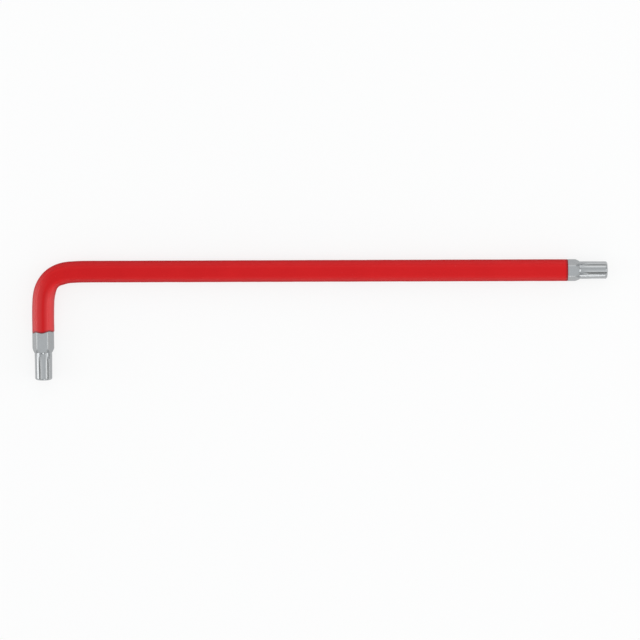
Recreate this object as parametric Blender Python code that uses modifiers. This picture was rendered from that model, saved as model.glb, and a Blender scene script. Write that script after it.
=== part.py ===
"""Ribbed L-key: a bent hexagon bar with a ribbed tip on each arm, and a red sleeve between its ends.

Units are metres. The key lies on its flats with Z up, the long arm runs along +X and the short arm
along -Y. The origin is on the table, below the middle of the key's outline.
"""

from math import acos, cos, pi, radians, sin, tan

import bmesh
import bpy
from mathutils import Matrix, Vector

# Hexagon bar
HEX_ACROSS_FLATS = 0.0060
HEX_CORNER_RADIUS = 0.0002
OVERALL_LENGTH = 0.1805
OVERALL_WIDTH = 0.0376
BEND_RADIUS = 0.0092

# The former that the bar is bent over leaves a shallow dip in the middle of the bend's inside
DIP_DEPTH = 0.00037
DIP_HALF_ANGLE = radians(24)

# Both ends: turned tip, conical shoulder and bevelled end
TIP_DIAMETER = 0.00536
TIP_TAPER = 0.00010
TIP_LENGTH = 0.0088
SHOULDER_ANGLE = radians(28)
SHOULDER_FILLET = 0.0020
END_BEVEL_WIDTH = 0.00055
END_BEVEL_LENGTH = 0.0006

# Ribs left standing between the grooves of each tip, and how far each tip's ribs are turned from its top
RIB_COUNT = 6
LONG_RIB_TURN = radians(14)
SHORT_RIB_TURN = radians(8)
GROOVE_DEPTH = 0.00036
GROOVE_RADIUS = 0.00038
GROOVE_LENGTH = 0.0048
GROOVE_RUN_OUT_RADIUS = 0.0105

# Sleeve, in a seat drawn down between the bare ends: flush with their corners, fuller on the flats
LONG_BARE_LENGTH = 0.0123
SHORT_BARE_LENGTH = 0.0148
SEAT_DEPTH = 0.00015
SLEEVE_CLEARANCE = 0.00004
SLEEVE_END_CLEARANCE = 0.0001
SLEEVE_WALL = 0.0003
SLEEVE_CORNER_WALL = 0.00013

# Fineness of the meshes
CORNER_STEPS = 3
SLEEVE_CORNER_STEPS = 6
BEND_STEPS = 24
TURNED_STEPS = 72
FILLET_STEPS = 5
GROOVE_SIDES = 4
RUN_OUT_STEPS = 10

# How far a cutter runs past what it cuts
OVERRUN = 0.0010


def across_corners(across_flats, corner_radius):
    """Widest size of a hexagon with rounded corners."""
    return 2 * ((across_flats / 2 - corner_radius) / cos(pi / 6) + corner_radius)


def corner_radius_for(across_flats, corners):
    """Corner radius that gives a hexagon of these flats this size across its corners."""
    return (across_flats / cos(pi / 6) - corners) / (2 / cos(pi / 6) - 2)


# The seat is the same hexagon, drawn down all round
SEAT_SCALE = 1 - 2 * SEAT_DEPTH / HEX_ACROSS_FLATS
BORE_FLATS = HEX_ACROSS_FLATS * SEAT_SCALE + 2 * SLEEVE_CLEARANCE
BORE_CORNER_RADIUS = HEX_CORNER_RADIUS * SEAT_SCALE + SLEEVE_CLEARANCE
SLEEVE_FLATS = BORE_FLATS + 2 * SLEEVE_WALL
SLEEVE_CORNERS = across_corners(BORE_FLATS, BORE_CORNER_RADIUS) + 2 * SLEEVE_CORNER_WALL
SLEEVE_CORNER_RADIUS = corner_radius_for(SLEEVE_FLATS, SLEEVE_CORNERS)

# The key's outline runs to its widest corners, and it lies on its widest flats
OUTLINE_CORNERS = max(SLEEVE_CORNERS, across_corners(HEX_ACROSS_FLATS, HEX_CORNER_RADIUS))
OUTLINE_FLATS = max(SLEEVE_FLATS, HEX_ACROSS_FLATS)

# Both arms are measured from where their axes cross
LONG_REACH = OVERALL_LENGTH - OUTLINE_CORNERS / 2
SHORT_REACH = OVERALL_WIDTH - OUTLINE_CORNERS / 2
BEND_CENTRE = Vector((BEND_RADIUS, -BEND_RADIUS, 0))


def clear_scene():
    for obj in list(bpy.data.objects):
        bpy.data.objects.remove(obj, do_unlink=True)


def new_collection(name):
    made = bpy.data.collections.new(name)
    bpy.context.scene.collection.children.link(made)
    return made


def new_material(name, colour, roughness, metallic):
    made = bpy.data.materials.new(name)
    made.use_nodes = True
    shader = made.node_tree.nodes["Principled BSDF"]
    shader.inputs["Base Color"].default_value = (*colour, 1)
    shader.inputs["Roughness"].default_value = roughness
    shader.inputs["Metallic"].default_value = metallic
    return made


def new_frame(name, collection, parent, matrix):
    """An empty that other objects are placed from."""
    made = bpy.data.objects.new(name, None)
    made.empty_display_size = HEX_ACROSS_FLATS
    collection.objects.link(made)
    made.parent = parent
    made.matrix_local = matrix
    return made


def new_object(name, bm, collection, parent):
    """Turns a finished bmesh into an object with outward faces."""
    bmesh.ops.recalc_face_normals(bm, faces=bm.faces)
    mesh = bpy.data.meshes.new(name)
    bm.to_mesh(mesh)
    bm.free()
    made = bpy.data.objects.new(name, mesh)
    collection.objects.link(made)
    made.parent = parent
    return made


def as_cutter(obj):
    obj.hide_render = True
    obj.display_type = "WIRE"
    return obj


def cut(obj, cutter):
    modifier = obj.modifiers.new(cutter.name, "BOOLEAN")
    modifier.operation = "DIFFERENCE"
    modifier.solver = "EXACT"
    modifier.object = cutter


def hexagon_ring(bm, across_flats, corner_radius, steps, y):
    """Edge ring of a rounded hexagon across the short arm at y, its corners pointing along X."""
    corner_at = (across_flats / 2 - corner_radius) / cos(pi / 6)
    verts = []
    for corner in range(6):
        towards = corner * pi / 3
        for step in range(steps + 1):
            turn = towards + (step / steps - 0.5) * pi / 3
            x = corner_at * cos(towards) + corner_radius * cos(turn)
            z = corner_at * sin(towards) + corner_radius * sin(turn)
            verts.append(bm.verts.new((x, y, z)))
    return [bm.edges.new(pair) for pair in zip(verts, verts[1:] + verts[:1])]


def verts_of(ring):
    return list({vert for edge in ring for vert in edge.verts})


def extrude_ring(bm, ring, move):
    """Extrudes an edge ring by a vector and returns the ring at its new end."""
    made = bmesh.ops.spin(
        bm, geom=ring, cent=(0, 0, 0), axis=(0, 0, 1), dvec=move, angle=0, steps=1
    )
    return [part for part in made["geom_last"] if isinstance(part, bmesh.types.BMEdge)]


def bend_ring(bm, ring):
    """Spins an edge ring round the bend, from the short arm to the long one."""
    made = bmesh.ops.spin(
        bm, geom=ring, cent=BEND_CENTRE, axis=(0, 0, 1), angle=-pi / 2, steps=BEND_STEPS
    )
    return [part for part in made["geom_last"] if isinstance(part, bmesh.types.BMEdge)]


def step_ring(bm, ring, factor, along):
    """Steps a ring in or out across its arm, which runs along the axis named."""
    ring = extrude_ring(bm, ring, (0, 0, 0))
    scale = (factor, 1, factor) if along == "Y" else (1, factor, factor)
    bmesh.ops.scale(bm, vec=scale, verts=verts_of(ring))
    return ring


def press_dip(bm):
    """Presses the former's dip into the inside of the bend, deepest in its middle."""
    for vert in bm.verts:
        out = vert.co - BEND_CENTRE
        out.z = 0
        inward = (BEND_RADIUS - out.length) / (HEX_ACROSS_FLATS / 2)
        off_middle = out.angle(Vector((-1, 1, 0))) / DIP_HALF_ANGLE
        if inward > 0 and off_middle < 1:
            depth = DIP_DEPTH * (1 + cos(pi * off_middle)) / 2
            vert.co += out.normalized() * depth * min(inward, 1) ** 2


def bent_hexagon(name, across_flats, corner_radius, steps, ends, collection, parent):
    """A hexagon carried along both arms, its ends this far down the short arm and along the long one."""
    bm = bmesh.new()
    short_end, long_end = ends
    first = hexagon_ring(bm, across_flats, corner_radius, steps, -short_end)
    ring = extrude_ring(bm, first, (0, short_end - BEND_RADIUS, 0))
    ring = bend_ring(bm, ring)
    last = extrude_ring(bm, ring, (long_end - BEND_RADIUS, 0, 0))
    bmesh.ops.contextual_create(bm, geom=first)
    bmesh.ops.contextual_create(bm, geom=last)
    press_dip(bm)
    return new_object(name, bm, collection, parent)


def stepped_bar(collection, parent):
    """The bare bar, full hexagon at both ends and drawn down between them for the sleeve."""
    bm = bmesh.new()
    first = hexagon_ring(bm, HEX_ACROSS_FLATS, HEX_CORNER_RADIUS, CORNER_STEPS, -SHORT_REACH)
    ring = extrude_ring(bm, first, (0, SHORT_BARE_LENGTH, 0))
    ring = step_ring(bm, ring, SEAT_SCALE, "Y")
    ring = extrude_ring(bm, ring, (0, SHORT_REACH - SHORT_BARE_LENGTH - BEND_RADIUS, 0))
    ring = bend_ring(bm, ring)
    ring = extrude_ring(bm, ring, (LONG_REACH - LONG_BARE_LENGTH - BEND_RADIUS, 0, 0))
    ring = step_ring(bm, ring, 1 / SEAT_SCALE, "X")
    last = extrude_ring(bm, ring, (LONG_BARE_LENGTH, 0, 0))
    bmesh.ops.contextual_create(bm, geom=first)
    bmesh.ops.contextual_create(bm, geom=last)
    press_dip(bm)
    return new_object("key_bar", bm, collection, parent)


def filleted(before, corner, after, radius, steps):
    """Points of the arc that rounds a corner of a profile."""
    back = (before - corner).normalized()
    ahead = (after - corner).normalized()
    half = back.angle(ahead) / 2
    middle = corner + (back + ahead).normalized() * radius / sin(half)
    start = corner + back * radius / tan(half)
    sweep = pi - 2 * half
    side = 1 if back.cross(ahead) < 0 else -1
    points = []
    for step in range(steps + 1):
        turn = Matrix.Rotation(side * sweep * step / steps, 2)
        points.append(middle + turn @ (start - middle))
    return points


def turning_cutter(name, collection, frame):
    """Ring that turns an end down to its tip: profile of radius and distance from the tip's end."""
    outside = HEX_ACROSS_FLATS / 2 / cos(pi / 6) + OVERRUN
    end = Vector((TIP_DIAMETER / 2 - END_BEVEL_WIDTH, 0))
    rim = Vector((TIP_DIAMETER / 2, END_BEVEL_LENGTH))
    root = Vector(((TIP_DIAMETER + TIP_TAPER) / 2, TIP_LENGTH))
    cone = Vector((outside, TIP_LENGTH + (outside - root.x) / tan(SHOULDER_ANGLE)))
    before_end = end - (rim - end).normalized() * OVERRUN
    profile = [cone, Vector((outside, before_end.y)), before_end, rim]
    profile += filleted(rim, root, cone, SHOULDER_FILLET, FILLET_STEPS)
    bm = bmesh.new()
    verts = [bm.verts.new((point.x, 0, point.y)) for point in profile]
    for pair in zip(verts, verts[1:] + verts[:1]):
        bm.edges.new(pair)
    made = as_cutter(new_object(name, bm, collection, frame))
    screw = made.modifiers.new("turn", "SCREW")
    screw.axis = "Z"
    screw.angle = 2 * pi
    screw.steps = TURNED_STEPS
    screw.render_steps = TURNED_STEPS
    screw.use_merge_vertices = True
    screw.merge_threshold = 0.000001
    return made


def groove_path(name):
    """Guide of one groove: along the tip at full depth, then curving out of it towards the shoulder."""
    axis_at = TIP_DIAMETER / 2 - GROOVE_DEPTH + GROOVE_RADIUS
    rise = GROOVE_DEPTH + TIP_TAPER / 2 + GROOVE_RADIUS / 2
    sweep = acos(1 - rise / GROOVE_RUN_OUT_RADIUS)
    points = [(axis_at, 0, -OVERRUN)]
    for step in range(RUN_OUT_STEPS + 1):
        turn = sweep * step / RUN_OUT_STEPS
        out = GROOVE_RUN_OUT_RADIUS * (1 - cos(turn))
        along = GROOVE_RUN_OUT_RADIUS * sin(turn)
        points.append((axis_at + out, 0, GROOVE_LENGTH + along))
    curve = bpy.data.curves.new(name, "CURVE")
    curve.dimensions = "3D"
    curve.bevel_depth = GROOVE_RADIUS
    curve.bevel_resolution = GROOVE_SIDES
    curve.use_fill_caps = True
    spline = curve.splines.new("POLY")
    spline.points.add(len(points) - 1)
    for place, point in zip(spline.points, points):
        place.co = (*point, 1)
    return bpy.data.objects.new(name, curve)


def groove_cutter(name, rib_turn, collection, frame):
    """One mesh that cuts all the grooves of a tip, each halfway between two ribs."""
    guide = groove_path(name + "_path")
    collection.objects.link(guide)
    graph = bpy.context.evaluated_depsgraph_get()
    tube = bpy.data.meshes.new_from_object(guide.evaluated_get(graph))
    bpy.data.objects.remove(guide)
    bm = bmesh.new()
    for rib in range(RIB_COUNT):
        turn = Matrix.Rotation(rib_turn + (rib + 0.5) * 2 * pi / RIB_COUNT, 4, "Z")
        copy = tube.copy()
        copy.transform(turn)
        bm.from_mesh(copy)
        bpy.data.meshes.remove(copy)
    bpy.data.meshes.remove(tube)
    bmesh.ops.remove_doubles(bm, verts=bm.verts, dist=0.000001)
    return as_cutter(new_object(name, bm, collection, frame))


def shade(obj, angle):
    """Smooth shading with sharp edges kept."""
    obj.data.shade_smooth()
    obj.data.set_sharp_from_angle(angle=angle)


def build():
    clear_scene()
    parts = new_collection("l_key")
    cutters = new_collection("cutters")

    # Where the arms' axes cross, at the height of the bar's axis
    crossing = Vector(
        (
            OUTLINE_CORNERS / 2 - OVERALL_LENGTH / 2,
            OVERALL_WIDTH / 2 - OUTLINE_CORNERS / 2,
            OUTLINE_FLATS / 2,
        )
    )
    key = new_frame("key_axes", parts, None, Matrix.Translation(crossing))

    # Each tip's frame sits on its end with Z pointing into the bar and X up
    up = Vector((0, 0, 1))
    for name, end, into in (
        ("long_tip", Vector((LONG_REACH, 0, 0)), Vector((-1, 0, 0))),
        ("short_tip", Vector((0, -SHORT_REACH, 0)), Vector((0, 1, 0))),
    ):
        turn = Matrix((up, into.cross(up), into)).transposed().to_4x4()
        new_frame(name, cutters, key, Matrix.Translation(end) @ turn)

    bar = stepped_bar(parts, key)
    for name, rib_turn in (("long_tip", LONG_RIB_TURN), ("short_tip", SHORT_RIB_TURN)):
        frame = bpy.data.objects[name]
        cut(bar, turning_cutter(name + "_turning", cutters, frame))
        cut(bar, groove_cutter(name + "_grooves", rib_turn, cutters, frame))
    shade(bar, radians(25))
    bar.data.materials.append(new_material("bright_steel", (0.62, 0.62, 0.61), 0.28, 1.0))

    sleeve_ends = (
        SHORT_REACH - SHORT_BARE_LENGTH - SLEEVE_END_CLEARANCE,
        LONG_REACH - LONG_BARE_LENGTH - SLEEVE_END_CLEARANCE,
    )
    sleeve = bent_hexagon(
        "grip_sleeve", SLEEVE_FLATS, SLEEVE_CORNER_RADIUS, SLEEVE_CORNER_STEPS, sleeve_ends, parts, key
    )
    bore_ends = [end + OVERRUN for end in sleeve_ends]
    bore = bent_hexagon(
        "sleeve_bore", BORE_FLATS, BORE_CORNER_RADIUS, CORNER_STEPS, bore_ends, cutters, key
    )
    cut(sleeve, as_cutter(bore))
    shade(sleeve, radians(25))
    sleeve.data.materials.append(new_material("red_plastic", (0.58, 0.016, 0.019), 0.42, 0.0))


build()
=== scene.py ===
"""Looks of the ribbed L-key: fine surfaces for its steel bar and red sleeve, their finishes, and a studio.

Units are metres. The key lies on its flats with Z up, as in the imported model. Every surface is worked out
from two numbers: an angle round the bar, which is 0 on the outside of the bend and a quarter turn on top,
and a station, the distance along the bar's axis from the short arm's tip, round the bend, to the long
arm's tip.
"""

from math import atan2, cos, pi, radians, sin, sqrt, tan

import bpy
import numpy as np
from mathutils import Matrix, Vector


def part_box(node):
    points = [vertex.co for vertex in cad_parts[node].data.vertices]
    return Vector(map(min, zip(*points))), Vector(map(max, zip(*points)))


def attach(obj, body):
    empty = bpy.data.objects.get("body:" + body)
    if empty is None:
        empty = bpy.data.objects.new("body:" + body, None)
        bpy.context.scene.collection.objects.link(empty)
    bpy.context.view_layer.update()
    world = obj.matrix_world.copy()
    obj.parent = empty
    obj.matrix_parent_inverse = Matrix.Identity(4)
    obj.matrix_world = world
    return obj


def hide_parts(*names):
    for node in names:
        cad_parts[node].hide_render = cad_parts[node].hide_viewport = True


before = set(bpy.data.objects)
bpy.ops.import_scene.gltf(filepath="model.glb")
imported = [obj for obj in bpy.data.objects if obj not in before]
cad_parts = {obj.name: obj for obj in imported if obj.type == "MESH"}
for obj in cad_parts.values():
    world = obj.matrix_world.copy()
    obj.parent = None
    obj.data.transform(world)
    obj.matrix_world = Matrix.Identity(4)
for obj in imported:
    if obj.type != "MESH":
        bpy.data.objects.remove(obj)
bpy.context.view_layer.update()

# Hexagon bar
HEX_FLATS = 0.0060
HEX_CORNER_RADIUS = 0.0002

# Bend: the former's dip in its inside, and its ease into both arms
BEND_RADIUS = 0.0092
DIP_DEPTH = 0.00037
DIP_HALF_ANGLE = radians(24)
EASE_DEPTH = 0.00018
EASE_SHIFT = 0.0014
EASE_SPAN = 0.0031

# Ends of the bar: rounded end, tapered tip, conical shoulder
TIP_RADIUS = 0.00271
TIP_TAPER = 0.00005
TIP_LENGTH = 0.0089
END_WIDTH = 0.0009
END_LENGTH = 0.00065
SHOULDER_SLOPE = tan(radians(31))
SHOULDER_END = 0.0105
SHOULDER_ROUNDING = 0.00008
SHOULDER_SWAY = 0.00050
SCALLOP_ROUNDING = 0.00003

# Grooves between the ribs
LONG_RIB_TURN = radians(14)
SHORT_RIB_TURN = radians(8)
RIB_STEP = pi / 3
GROOVE_DEPTH = 0.00036
GROOVE_RADIUS = 0.00027
GROOVE_LENGTH = 0.0048
GROOVE_RUN_OUT_RADIUS = 0.0105
RIB_EDGE_RADIUS = 0.00013

# Bands of the steel's finish, and of its painted highlight along the ribs and the hexagon's corners
RIB_HIGHLIGHT_AT = 0.00055
RIB_HIGHLIGHT_WIDTH = 0.00030
CORNER_HIGHLIGHT_WIDTH = 0.00016
TURNED_MARGIN = 0.0008

# Seat of the sleeve in the bar
SEAT_SCALE = 0.95
SEAT_EDGE = 0.00003
SEAT_CLEARANCE = 0.00005

# Sleeve
BORE_FLATS = 0.00578
BORE_CORNER_RADIUS = 0.00023
LIP_LENGTH = 0.00045
LIP_SHARE = 0.75
SLEEVE_CUT = 0.00013
SLEEVE_SLANT = 0.00021
SLEEVE_PULL = 0.00057
INNER_FULLNESS = 0.00015
RIPPLE = 0.000006

# Ripples: radians along a metre, waves round the sleeve, phase
RIPPLE_WAVES = ((610, 2, 0), (1370, -3, 1), (270, 1, 2))

# Bands of the sleeve's finish, and of its painted shade along the sides and at the lips
LIP_BAND = 0.00068
CORNER_BAND = radians(8)
SIDE_SHADE_BAND = radians(24)
HANDLED_BEND = 0.65
HANDLED_SPREAD = 0.42
HANDLED_SHIFT = 0.10
HANDLED_TILT = 0.20

# Fineness: columns round each piece, and rows along each stretch of it
BAR_SIDES = 300
SLEEVE_SIDES = 240
ROUNDING_ROWS = 16
RIB_ROWS = 12
RUN_OUT_ROWS = 34
SHOULDER_ROWS = 62
COLLAR_ROWS = 14
BAR_BEND_ROWS = 32
BAR_FAR_ROWS = 4
LIP_ROWS = 9
SHORT_ARM_ROWS = 12
BEND_ROWS = 48
LONG_ARM_ROWS = 96
BORE_FAR_ROWS = 10
BORE_BEND_ROWS = 28

# Places of rows: in a tip's flat face, by the shoulder, at the seat's step, and where the bend eases
FACE_SHARES = (0.5, 0.93)
SHOULDER_START = 0.0083
FIRST_COLLAR_ROW = 0.06
ROW_MARGIN = 0.0005
FAR_MARGIN = 0.004
EASE_ROWS = np.array([0.002, 0.004, 0.0065])
EASE_END = 0.012

# Rows at the seat's step: distance past it, share of the slant, share of the seat's depth
SEAT_ROWS = np.array([(0, 1, 0.12), (0, 1, 1), (0.0001, 1, 1), (0.0004, 1, 1), (0.001, 0.8, 1)])

# Camera
CAMERA_LEAN_X = radians(1.5)
CAMERA_LEAN_Y = radians(5.8)
CAMERA_ROLL = -0.005505
CAMERA_FOCAL_PIXELS = 3500
CAMERA_DISTANCE = 1.098044
CAMERA_AIM = (0.000302, -0.000097, 0.00319)
CAMERA_REACH = 20.0
PHOTO_PIXELS = 640
SENSOR_WIDTH = 36.0

# Studio
FLOOR_SIZE = 8.0
FLOOR_Z = -0.00001
FLOOR_WHITE = 0.78
WORLD_TINT = (0.97, 0.99, 1.0, 1.0)
WORLD_BRIGHTNESS = (0.32, 0.30, 1.08)
WORLD_CORNERS = 0.55
BOX_DISTANCE = 1.1

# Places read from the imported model
bar_low, bar_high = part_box("key_bar")
sleeve_low, sleeve_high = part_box("grip_sleeve")
SLEEVE_FLATS = sleeve_high.z - sleeve_low.z
HALF_CORNERS = (HEX_FLATS / 2 - HEX_CORNER_RADIUS) / cos(pi / 6) + HEX_CORNER_RADIUS
AXIS_Z = (sleeve_low.z + sleeve_high.z) / 2
CROSSING = Vector((bar_low.x + HALF_CORNERS, bar_high.y - HALF_CORNERS, AXIS_Z))
BEND_START = CROSSING.y - BEND_RADIUS - bar_low.y
BEND_LENGTH = BEND_RADIUS * pi / 2
BEND_END = BEND_START + BEND_LENGTH
BAR_LENGTH = BEND_END + bar_high.x - CROSSING.x - BEND_RADIUS
SLEEVE_CORNERS = 2 * (CROSSING.x - sleeve_low.x)
SLEEVE_CORNER_RADIUS = (SLEEVE_FLATS / cos(pi / 6) - SLEEVE_CORNERS) / (2 / cos(pi / 6) - 2)
SLEEVE_START = sleeve_low.y - bar_low.y
SLEEVE_END = BAR_LENGTH - (bar_high.x - sleeve_high.x)


def rounded_low(a, b, width):
    """The lower of two heights; where they differ by less than a width, a parabola rounds the edge."""
    return np.minimum(a, b) - np.maximum(width - np.abs(a - b), 0) ** 2 / (4 * width)


def rounded_high(a, b, width):
    """The higher of two heights; where they differ by less than a width, a parabola fills the corner."""
    return np.maximum(a, b) + np.maximum(width - np.abs(a - b), 0) ** 2 / (4 * width)


def eased(share):
    """A share from 0 to 1 by the cubic that starts and ends level."""
    return share**2 * (3 - 2 * share)


def bell(distance, width):
    """1 at no distance, falling off on both sides as a bell curve of that width."""
    return np.exp(-((distance / width) ** 2))


def off_nearest(angle, first, step):
    """Signed angle from the nearest of the directions that start at first and repeat every step."""
    return (angle - first + step / 2) % step - step / 2


def hexagon(angle, flats, corner_radius):
    """Distance from the axis to a rounded hexagon with a corner at angle 0.

    On a flat it is half the flats over the cosine of the angle from the flat's middle. Round a corner it
    is where the ray leaves the corner's circle.
    """
    off = np.abs(off_nearest(angle, 0, pi / 3))
    centre = (flats / 2 - corner_radius) / cos(pi / 6)
    on_flat = flats / 2 / np.cos(pi / 6 - off)
    beside = centre * np.sin(off)
    on_corner = centre * np.cos(off) + np.sqrt(np.maximum(corner_radius**2 - beside**2, 0))
    tangent = atan2(corner_radius * sin(pi / 6), centre + corner_radius * cos(pi / 6))
    return np.where(off < tangent, on_corner, on_flat)


def turned(depth, angle):
    """Radius of the turned end at a distance from the tip's end.

    The tip's tapering line less a quarter ellipse that rounds its end, or the shoulder's cone where that is
    higher, with a parabola where the two meet. The cone comes nearer the end under the middle of each flat,
    by one less the fourth power of the cosine of three times the angle.
    """
    into_end = np.clip(1 - depth / END_LENGTH, 0, 1)
    rounding = END_WIDTH * (1 - np.sqrt(1 - into_end**2))
    taper = TIP_RADIUS + TIP_TAPER * depth / TIP_LENGTH
    foot = TIP_LENGTH - SHOULDER_SWAY * (1 - np.cos(3 * angle) ** 4)
    cone = TIP_RADIUS + TIP_TAPER + (depth - foot) * SHOULDER_SLOPE
    return rounded_high(taper - rounding, cone, SHOULDER_ROUNDING)


def groove(across, axis_height):
    """Height of a round groove below the surface it is cut in, by the distance across from its middle.

    The groove is a circle whose centre is at a height above the surface. A smaller circle that touches
    both it and the surface rounds the rib's edge. Past that circle the height is nought.
    """
    lift = np.minimum(axis_height, GROOVE_RADIUS)
    reach = GROOVE_RADIUS + RIB_EDGE_RADIUS
    edge_at = np.sqrt(np.maximum(reach**2 - (lift + RIB_EDGE_RADIUS) ** 2, 0))
    joins_at = edge_at * GROOVE_RADIUS / reach
    off = np.abs(across)
    bottom = lift - np.sqrt(np.maximum(GROOVE_RADIUS**2 - off**2, 0))
    edge = np.sqrt(np.maximum(RIB_EDGE_RADIUS**2 - (off - edge_at) ** 2, 0)) - RIB_EDGE_RADIUS
    return np.where(off < joins_at, bottom, np.where(off < edge_at, edge, 0))


def groove_height(depth, surface):
    """Height of a groove's axis above the turned surface: level along the tip, then rising on a circle."""
    along = np.clip(depth - GROOVE_LENGTH, 0, GROOVE_RUN_OUT_RADIUS)
    rise = GROOVE_RUN_OUT_RADIUS - np.sqrt(GROOVE_RUN_OUT_RADIUS**2 - along**2)
    return TIP_RADIUS - GROOVE_DEPTH + GROOVE_RADIUS + rise - surface


def carried(station, out, up):
    """Points carried along the key's axis: straight up the short arm, a quarter circle, straight along.

    Out is measured from the axis towards the outside of the bend, and up above it. The former's dip moves
    the inside of the bend outwards by a cosine hump, by the square of how far inside the point is. The
    bend eases into both arms: a bell curve near each of its ends moves the points inwards.
    """
    turn = np.clip((station - BEND_START) / BEND_RADIUS, 0, pi / 2)
    off_middle = np.minimum(np.abs(turn - pi / 4) / DIP_HALF_ANGLE, 1)
    inside = np.clip(-out / (HEX_FLATS / 2), 0, 1)
    past = np.maximum(BEND_START - station, station - BEND_END)
    out = out + DIP_DEPTH * (1 + np.cos(pi * off_middle)) / 2 * inside**2
    out = out - EASE_DEPTH * bell(past + EASE_SHIFT, EASE_SPAN)
    x = CROSSING.x + BEND_RADIUS - (BEND_RADIUS + out) * np.cos(turn) + np.maximum(station - BEND_END, 0)
    y = CROSSING.y - BEND_RADIUS + (BEND_RADIUS + out) * np.sin(turn) + np.minimum(station - BEND_START, 0)
    return np.stack(np.broadcast_arrays(x, y, CROSSING.z + up), axis=-1)


def slant(angle):
    """How far the sleeve's end on the short arm is cut back: by a plane slant, most inside the bend.

    It is also pulled back over the corners beside the top flat and the bottom flat, by the square of the
    sine of twice the angle times the size of its sine.
    """
    pulled = np.sin(2 * angle) ** 2 * np.abs(np.sin(angle))
    return SLEEVE_CUT - SLEEVE_SLANT * np.cos(angle) + SLEEVE_PULL * pulled


def ripple(station, angle):
    """Height of the sleeve's ripples: sine waves along and round it, each less one so that none rises."""
    waves = [np.sin(pace * station + turns * angle + phase) - 1 for pace, turns, phase in RIPPLE_WAVES]
    return RIPPLE * sum(waves)


def surface_piece(name, points, straight, masks, ring):
    """A closed piece from a grid of points: columns go round the bar, and rows along it.

    As a ring, the last row joins the first. Otherwise a fan of triangles closes each end on its middle.
    Straight is each point's place in the bar as if unbent, and masks are values that the finishes read.
    """
    rows, columns = points.shape[:2]
    row = np.arange(rows if ring else rows - 1)[:, None] * columns
    ahead = (row + columns) % (rows * columns)
    column = np.arange(columns)
    beside = (column + 1) % columns
    faces = np.stack([row + column, row + beside, ahead + beside, ahead + column], axis=-1)
    faces = faces.reshape(-1, 4).tolist()
    points = points.reshape(-1, 3)
    straight = straight.reshape(-1, 3)
    masks = {key: value.reshape(-1) for key, value in masks.items()}
    if not ring:
        first, last = slice(0, columns), slice(-columns, None)
        middle = len(points)
        faces += np.stack([np.full(columns, middle), beside, column], axis=-1).tolist()
        start = middle - columns
        faces += np.stack([np.full(columns, middle + 1), start + column, start + beside], axis=-1).tolist()
        points = np.concatenate([points, [points[first].mean(axis=0), points[last].mean(axis=0)]])
        straight = np.concatenate([straight, [straight[first].mean(axis=0), straight[last].mean(axis=0)]])
        masks = {key: np.append(value, [value[0], value[-1]]) for key, value in masks.items()}
    mesh = bpy.data.meshes.new(name)
    mesh.from_pydata(points.tolist(), [], faces)
    mesh.attributes.new("straight", "FLOAT_VECTOR", "POINT").data.foreach_set("vector", straight.ravel())
    for key, value in masks.items():
        mesh.attributes.new(key, "FLOAT", "POINT").data.foreach_set("value", value)
    mesh.shade_smooth()
    made = bpy.data.objects.new(name, mesh)
    bpy.context.scene.collection.objects.link(made)
    return made


def end_rows():
    """Distances of the bar's rows from a tip's end, closest where the surface turns most."""
    return np.concatenate(
        [
            np.zeros(len(FACE_SHARES)),
            END_LENGTH * (1 - np.cos(np.linspace(0, pi / 2, ROUNDING_ROWS))),
            np.linspace(END_LENGTH, GROOVE_LENGTH, RIB_ROWS + 2)[1:-1],
            np.linspace(GROOVE_LENGTH, SHOULDER_START, RUN_OUT_ROWS, endpoint=False),
            np.linspace(SHOULDER_START, SHOULDER_END, SHOULDER_ROWS),
        ]
    )


def half_bar(step):
    """Rows from a tip's end to under the sleeve, whose seat starts at a step.

    For each row, its distance from the end, then its shares of the radius, of the slant and of the seat.
    """
    end = end_rows()
    collar_share = np.linspace(FIRST_COLLAR_ROW, 1, COLLAR_ROWS)
    collar = SHOULDER_END + (step - SEAT_EDGE - SHOULDER_END) * collar_share
    past_step, slanted, seated = SEAT_ROWS.T
    depth = np.concatenate([end, collar, step + past_step])
    share = np.ones(len(depth))
    share[: len(FACE_SHARES)] = FACE_SHARES
    sag = np.concatenate([0 * end, collar_share**2, slanted])
    seat = np.concatenate([0 * end, 0 * collar, seated])
    return np.stack([depth, share, sag, seat])


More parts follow.
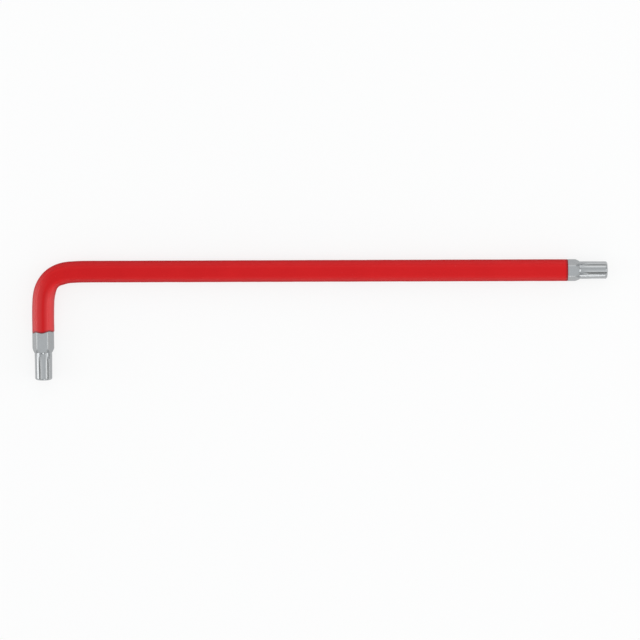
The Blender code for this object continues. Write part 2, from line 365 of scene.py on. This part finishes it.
def steel_bar():
    """The bar in one surface, from tip to tip.

    Its radius is the lower of the hexagon and the turned end less its grooves. Between the collars the
    hexagon is drawn down to the sleeve's seat. The short collar ends in the sleeve's slant, and the long
    one square.
    """
    angle = np.arange(BAR_SIDES) * 2 * pi / BAR_SIDES
    long_step = BAR_LENGTH - SLEEVE_END - SEAT_CLEARANCE
    short_depth, short_share, short_sag, short_seat = half_bar(SLEEVE_START - SEAT_CLEARANCE)
    long_depth, long_share, long_sag, long_seat = half_bar(long_step)[:, ::-1]
    bend = np.linspace(BEND_START - ROW_MARGIN, BEND_END + ROW_MARGIN, BAR_BEND_ROWS)
    far = np.linspace(BEND_END + EASE_END, BAR_LENGTH - long_step - FAR_MARGIN, BAR_FAR_ROWS)
    middle = np.concatenate([BEND_START - EASE_ROWS[::-1], bend, BEND_END + EASE_ROWS, far])
    whole = np.ones(len(middle))
    station = np.concatenate([short_depth, middle, BAR_LENGTH - long_depth])[:, None]
    share = np.concatenate([short_share, whole, long_share])[:, None]
    sag = np.concatenate([short_sag, 0 * middle, 0 * long_sag])[:, None]
    seat = np.concatenate([short_seat, whole, long_seat])[:, None]

    depth = np.minimum(station, BAR_LENGTH - station)
    rib_at = pi / 2 + np.where(station > BEND_END, -LONG_RIB_TURN, SHORT_RIB_TURN)
    surface = turned(depth, angle)
    across = surface * np.sin(off_nearest(angle, rib_at + RIB_STEP / 2, RIB_STEP))
    axis_height = groove_height(depth, surface)
    cut = groove(across, axis_height)
    bare = hexagon(angle, HEX_FLATS, HEX_CORNER_RADIUS)
    radius = rounded_low(bare * (1 + (SEAT_SCALE - 1) * seat), surface + cut, SCALLOP_ROUNDING) * share
    station = station + sag * slant(angle)
    out, up = radius * np.cos(angle), radius * np.sin(angle)
    straight = np.stack(np.broadcast_arrays(out, up, station), axis=-1)

    on_hexagon = np.clip((surface + cut - bare) / SCALLOP_ROUNDING / 2 + 0.5, 0, 1)
    deep = np.clip((GROOVE_RADIUS - axis_height) / GROOVE_DEPTH, 0, 1)
    # Painted highlight: a lighter band along each rib beside the grooves, and on the hexagon's corners.
    rib_highlight = deep * bell(np.abs(across) - RIB_HIGHLIGHT_AT, RIB_HIGHLIGHT_WIDTH)
    corner_highlight = bell(off_nearest(angle, 0, pi / 3) * HEX_FLATS / 2, CORNER_HIGHLIGHT_WIDTH)
    masks = {
        "groove": -cut / GROOVE_DEPTH,
        "highlight_band": rib_highlight * (1 - on_hexagon) + corner_highlight * on_hexagon,
        "turned": (1 - on_hexagon) * (depth > TIP_LENGTH - TURNED_MARGIN) + (depth < END_LENGTH),
    }
    return surface_piece("steel_bar", carried(station, out, up), straight, masks, ring=False)


def red_sleeve():
    """The sleeve as one closed ring of rows: along its outside, over the far lip, and back along its bore.

    The radius goes from the soft outer hexagon to the bore's by each row's share of the wall. A lip is a
    quarter ellipse. The outside is rippled, and fuller on the inside of the short arm, by the sixth power of
    the cosine. That fullness fades out round the bend.
    """
    angle = np.arange(SLEEVE_SIDES) * 2 * pi / SLEEVE_SIDES
    quarter = np.linspace(0, pi / 2, LIP_ROWS)
    lip = LIP_LENGTH * (1 - np.cos(quarter))
    lip_wall = LIP_SHARE * (1 - np.sin(quarter))
    outside = np.concatenate(
        [
            np.linspace(SLEEVE_START + 2 * LIP_LENGTH, BEND_START - ROW_MARGIN, SHORT_ARM_ROWS),
            np.linspace(BEND_START, BEND_END, BEND_ROWS),
            np.linspace(BEND_END + ROW_MARGIN, SLEEVE_END - 2 * LIP_LENGTH, LONG_ARM_ROWS),
        ]
    )
    bore = np.concatenate(
        [
            [SLEEVE_END, SLEEVE_END - ROW_MARGIN],
            np.linspace(SLEEVE_END - FAR_MARGIN, BEND_END + EASE_END, BORE_FAR_ROWS),
            BEND_END + EASE_ROWS[::-1],
            np.linspace(BEND_END, BEND_START, BORE_BEND_ROWS),
            BEND_START - EASE_ROWS,
            [SLEEVE_START + ROW_MARGIN, SLEEVE_START],
        ]
    )
    station = np.concatenate([SLEEVE_START + lip, outside, (SLEEVE_END - lip)[::-1], bore])[:, None]
    wall = np.concatenate([lip_wall, 0 * outside, lip_wall[::-1], 0 * bore + 1])[:, None]
    from_end = np.minimum(station - SLEEVE_START, SLEEVE_END - station)
    sag = np.clip(1 - (station - SLEEVE_START) / (BEND_START - SLEEVE_START), 0, 1) ** 2

    outer = hexagon(angle, SLEEVE_FLATS, SLEEVE_CORNER_RADIUS)
    inner = hexagon(angle, BORE_FLATS, BORE_CORNER_RADIUS)
    before = np.clip((BEND_END - station) / BEND_LENGTH, 0, 1)
    fullness = INNER_FULLNESS * eased(before) * np.maximum(-np.cos(angle), 0) ** 6
    radius = outer + (inner - outer) * wall + (ripple(station, angle) + fullness) * (1 - wall)
    station = station + sag * slant(angle)
    out, up = radius * np.cos(angle), radius * np.sin(angle)
    straight = np.stack(np.broadcast_arrays(out, up, station), axis=-1)

    from_side = np.abs(off_nearest(angle, 0, pi))
    off_sides = from_side > pi / 6
    handled = np.clip(1 - (station - BEND_START) / (HANDLED_BEND * BEND_LENGTH), 0, 1)
    off_top = np.clip(np.abs(np.cos(angle) + HANDLED_SHIFT) / HANDLED_SPREAD, 0, 1)
    masks = {
        "corner": bell(off_nearest(angle, 0, pi / 3), CORNER_BAND) * off_sides * (1 - wall),
        # Painted shade: a darker band along both sides of the sleeve.
        "side_shade": bell(from_side, SIDE_SHADE_BAND) * (1 - wall),
        # Painted shade at both ends of the sleeve and in its bore.
        "lip": np.maximum(wall, 1 - np.minimum(from_end / LIP_BAND, 1)) + 0 * radius,
        "handled": eased(handled) * off_top * (1 - HANDLED_TILT * np.cos(angle)),
        "along": station / BAR_LENGTH,
    }
    return surface_piece("red_sleeve", carried(station, out, up), straight, masks, ring=True)


class Flow:
    """A socket of a node tree. Python's operators on it add Math nodes, and node adds any other node."""

    def __init__(self, tree, socket=None):
        self.tree = tree
        self.socket = socket

    def node(self, kind, settings=None, sockets=None, output=0):
        """Adds a node: its settings first, then the values or links of its sockets; gives one output."""
        made = self.tree.nodes.new(kind)
        for name, value in (settings or {}).items():
            setattr(made, name, value)
        for name, value in (sockets or {}).items():
            if isinstance(value, Flow):
                self.tree.links.new(value.socket, made.inputs[name])
            else:
                made.inputs[name].default_value = value
        return Flow(self.tree, made.outputs[output])

    def math(self, operation, first, second=0.0, clamp=False):
        settings = {"operation": operation, "use_clamp": clamp}
        return self.node("ShaderNodeMath", settings, {0: first, 1: second})

    def __add__(self, other):
        return self.math("ADD", self, other)

    def __sub__(self, other):
        return self.math("SUBTRACT", self, other)

    def __mul__(self, other):
        return self.math("MULTIPLY", self, other)

    def __rsub__(self, other):
        return self.math("SUBTRACT", other, self)

    __radd__ = __add__
    __rmul__ = __mul__

    def clamped(self):
        return self.math("ADD", self, 0.0, clamp=True)

    def step(self, low, high):
        """0 below low, 1 above high, and smooth between."""
        sockets = {"Value": self, "From Min": low, "From Max": high}
        return self.node("ShaderNodeMapRange", {"interpolation_type": "SMOOTHSTEP"}, sockets)

    def mix(self, low, high):
        """A colour from low to high by this value."""
        sockets = {0: self, 6: low, 7: high}
        return self.node("ShaderNodeMix", {"data_type": "RGBA"}, sockets, output=2)

    def attribute(self, name, output="Fac"):
        return self.node("ShaderNodeAttribute", {"attribute_name": name}, output=output)

    def scaled(self, factors):
        """A vector times three factors."""
        return self.node("ShaderNodeVectorMath", {"operation": "MULTIPLY"}, {0: self, 1: factors})

    def noise(self, scale, detail=2.0, roughness=0.5):
        """Noise from 0 to 1 over this vector."""
        sockets = {"Vector": self, "Scale": scale, "Detail": detail, "Roughness": roughness}
        return self.node("ShaderNodeTexNoise", None, sockets)


def colour(red, green, blue):
    return (red, green, blue, 1.0)


def new_finish(name):
    """An empty material, with its first flow and its output."""
    made = bpy.data.materials.new(name)
    made.use_nodes = True
    made.node_tree.nodes.clear()
    output = made.node_tree.nodes.new("ShaderNodeOutputMaterial")
    return made, Flow(made.node_tree), output.inputs["Surface"]


def plated_steel():
    """Satin plated steel: draw lines along the bar, rings on what was turned, dark grooves, painted
    highlight on edges.
    """
    made, flow, surface = new_finish("plated_steel")
    straight = flow.attribute("straight", "Vector")
    grooved = flow.attribute("groove").step(0.3, 0.9)
    highlight_band = flow.attribute("highlight_band").clamped()
    on_turned = flow.attribute("turned").clamped()
    cloud = straight.noise(420, 3.0)
    drawn = straight.scaled((1, 1, 0.02)).noise(9000, 2.0)
    rings = straight.scaled((0.03, 0.03, 1)).noise(14000, 2.0)
    pits = straight.noise(5200, 2.0).step(0.66, 0.8)
    lines = on_turned * rings + (1 - on_turned) * drawn
    tone = (0.55 * cloud + 0.45 * lines).clamped()
    plate = tone.mix(colour(0.34, 0.352, 0.36), colour(0.43, 0.442, 0.45))
    # Painted highlight: lighter steel on the ribs and the hexagon's corners.
    plate = (0.60 * highlight_band).mix(plate, colour(0.60, 0.61, 0.612))
    shaded = (0.62 * grooved).mix(plate, colour(0.205, 0.203, 0.19))
    base = (0.25 * pits).mix(shaded, colour(0.30, 0.30, 0.29))
    roughness = 0.20 + 0.10 * lines + 0.10 * grooved + 0.12 * pits - 0.07 * on_turned
    height = 0.8 * lines + 0.6 * cloud - 0.5 * pits
    normal = flow.node("ShaderNodeBump", None, {"Strength": 0.35, "Distance": 0.000004, "Height": height})
    sockets = {"Base Color": base, "Roughness": roughness, "Metallic": 1.0, "Normal": normal}
    shader = flow.node("ShaderNodeBsdfPrincipled", None, sockets)
    flow.tree.links.new(shader.socket, surface)
    return made


def red_plastic():
    """Satin red plastic: soft clouds in the colour, fine peel, and painted shade along the sides and at the
    lips.

    A painted light makes the colour a little lighter towards the long tip. The corners beside the top flat
    and the bottom flat are rubbed lighter, and the short arm and the bend are polished by the hand.
    """
    made, flow, surface = new_finish("red_plastic")
    straight = flow.attribute("straight", "Vector")
    corner = flow.attribute("corner")
    side_shade = flow.attribute("side_shade")
    lip = flow.attribute("lip").step(0.05, 0.6)
    handled = flow.attribute("handled")
    along = flow.attribute("along")
    cloud = straight.noise(95, 3.0)
    grain = straight.noise(2600, 2.0)
    peel = straight.noise(1500, 1.0)
    drag = straight.scaled((1, 1, 0.03)).noise(2600, 2.0)
    specks = straight.noise(1900, 1.0).step(0.72, 0.80)
    # The along term is painted light: the colour gets lighter towards the long tip.
    tone = (0.6 * cloud + 0.25 * grain + 0.15 * drag + 0.5 * (along - 0.55)).clamped()
    base = tone.mix(colour(0.512, 0.0088, 0.0108), colour(0.624, 0.0142, 0.016))
    base = (0.15 * corner).mix(base, colour(0.70, 0.03, 0.032))
    # Painted shade darkens the colour along both sides of the sleeve.
    base = (0.50 * side_shade).mix(base, colour(0.24, 0.012, 0.016))
    # Painted shade darkens the colour at the sleeve's ends and in its bore.
    base = (0.72 * lip).mix(base, colour(0.16, 0.010, 0.014))
    base = (0.10 * specks).mix(base, colour(0.75, 0.20, 0.19))
    roughness = 0.42 + 0.08 * cloud + 0.05 * grain - 0.05 * corner
    height = 0.8 * peel + 0.25 * grain + 0.3 * drag
    normal = flow.node("ShaderNodeBump", None, {"Strength": 0.3, "Distance": 0.000010, "Height": height})
    sockets = {"Base Color": base, "Roughness": roughness, "IOR": 1.16, "Normal": normal}
    sockets |= {"Coat Weight": 0.83 * handled, "Coat Roughness": 0.38, "Coat IOR": 1.5}
    shader = flow.node("ShaderNodeBsdfPrincipled", None, sockets)
    flow.tree.links.new(shader.socket, surface)
    return made


def studio_floor():
    """A wide sheet of pale paper, which the camera and the reflections see most of the way to white."""
    made, flow, surface = new_finish("floor_paper")
    place = flow.node("ShaderNodeTexCoord", output="Object")
    tone = place.noise(6, 3.0).mix(colour(0.83, 0.83, 0.825), colour(0.86, 0.86, 0.855))
    paper = flow.node("ShaderNodeBsdfDiffuse", None, {"Color": tone})
    white = flow.node("ShaderNodeEmission", None, {"Color": colour(1, 1, 1), "Strength": 1.0})
    seen = flow.node("ShaderNodeLightPath", output="Is Camera Ray")
    seen = seen + flow.node("ShaderNodeLightPath", output="Is Glossy Ray")
    seen = (seen + flow.node("ShaderNodeLightPath", output="Is Transmission Ray")).clamped()
    sheet = flow.node("ShaderNodeMixShader", None, {0: FLOOR_WHITE * seen, 1: paper, 2: white})
    flow.tree.links.new(sheet.socket, surface)
    half = FLOOR_SIZE / 2
    corners = [(x * half, y * half, FLOOR_Z) for x, y in ((-1, -1), (1, -1), (1, 1), (-1, 1))]
    mesh = bpy.data.meshes.new("floor")
    mesh.from_pydata(corners, [], [(0, 1, 2, 3)])
    mesh.materials.append(made)
    floor = bpy.data.objects.new("floor", mesh)
    bpy.context.scene.collection.objects.link(floor)
    return floor


def soft_box(name, heading, elevation, size, radiance, mirrored=True):
    """A rectangular lamp of even brightness that faces the key, seen from it at a heading and an elevation.

    One that isn't mirrored only fills in: no glint of it shows.
    """
    data = bpy.data.lights.new(name, "AREA")
    data.shape = "RECTANGLE"
    data.size, data.size_y = size
    data.energy = radiance * pi * size[0] * size[1]
    heading, elevation = radians(heading), radians(elevation)
    back = Vector((cos(elevation) * cos(heading), cos(elevation) * sin(heading), sin(elevation)))
    facing = back.to_track_quat("Z", "Y").to_matrix().to_4x4()
    made = bpy.data.objects.new(name, data)
    made.matrix_world = Matrix.Translation(back * BOX_DISTANCE) @ facing
    made.visible_glossy = mirrored
    bpy.context.scene.collection.objects.link(made)


def studio_world():
    """Pale surroundings, with one brightness at the sides, one at the ends, one overhead, and lit corners.

    The brightness in a direction is the first three weighted by the squares of the direction's X, Y and Z,
    and the corners' weighted by four times the product of the squares of X and Y.
    """
    world = bpy.data.worlds.new("studio")
    world.use_nodes = True
    flow = Flow(world.node_tree)
    towards = flow.node("ShaderNodeTexCoord", output="Generated")
    squares = towards.scaled(towards)
    sockets = {0: squares, 1: WORLD_BRIGHTNESS}
    even = flow.node("ShaderNodeVectorMath", {"operation": "DOT_PRODUCT"}, sockets, output="Value")
    x_square = flow.node("ShaderNodeSeparateXYZ", None, {0: squares}, output="X")
    y_square = flow.node("ShaderNodeSeparateXYZ", None, {0: squares}, output="Y")
    strength = even + 4 * WORLD_CORNERS * x_square * y_square
    background = world.node_tree.nodes["Background"]
    background.inputs["Color"].default_value = WORLD_TINT
    flow.tree.links.new(strength.socket, background.inputs["Strength"])
    bpy.context.scene.world = world


def studio_camera():
    """A long lens almost straight above the key, leaning a little to its outer side and its long tip."""
    lean_x, lean_y = sin(CAMERA_LEAN_X), sin(CAMERA_LEAN_Y)
    back = Vector((lean_x, lean_y, sqrt(1 - lean_x**2 - lean_y**2)))
    right = Vector((0, 1, 0)).cross(back).normalized()
    above = back.cross(right)
    turn = Matrix((right, above, back)).transposed() @ Matrix.Rotation(CAMERA_ROLL, 3, "Z")
    data = bpy.data.cameras.new("camera")
    data.sensor_width = SENSOR_WIDTH
    data.lens = SENSOR_WIDTH * CAMERA_FOCAL_PIXELS / PHOTO_PIXELS
    data.clip_end = CAMERA_REACH
    made = bpy.data.objects.new("camera", data)
    made.matrix_world = Matrix.Translation(Vector(CAMERA_AIM) + back * CAMERA_DISTANCE) @ turn.to_4x4()
    bpy.context.scene.collection.objects.link(made)
    bpy.context.scene.camera = made


bar = steel_bar()
bar.data.materials.append(plated_steel())
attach(bar, "root")
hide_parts("key_bar")

sleeve = red_sleeve()
sleeve.data.materials.append(red_plastic())
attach(sleeve, "root")
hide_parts("grip_sleeve")

studio_floor()
studio_world()
soft_box("box_left", 180, 19, (0.60, 0.72), 1.8)
soft_box("box_right", 0, 38, (0.60, 0.85), 0.75)
soft_box("strip_right", 0, 26.5, (0.40, 0.18), 2.0)
soft_box("fill_right", 0, 8, (1.10, 0.28), 7.4, mirrored=False)
soft_box("fill_left", 180, 8, (1.10, 0.28), 1.8, mirrored=False)
soft_box("box_near", -90, 14.5, (0.32, 0.47), 3.2)
soft_box("box_far", 90, 31, (0.90, 0.80), 0.75)
studio_camera()
bpy.context.scene.view_settings.view_transform = "Standard"
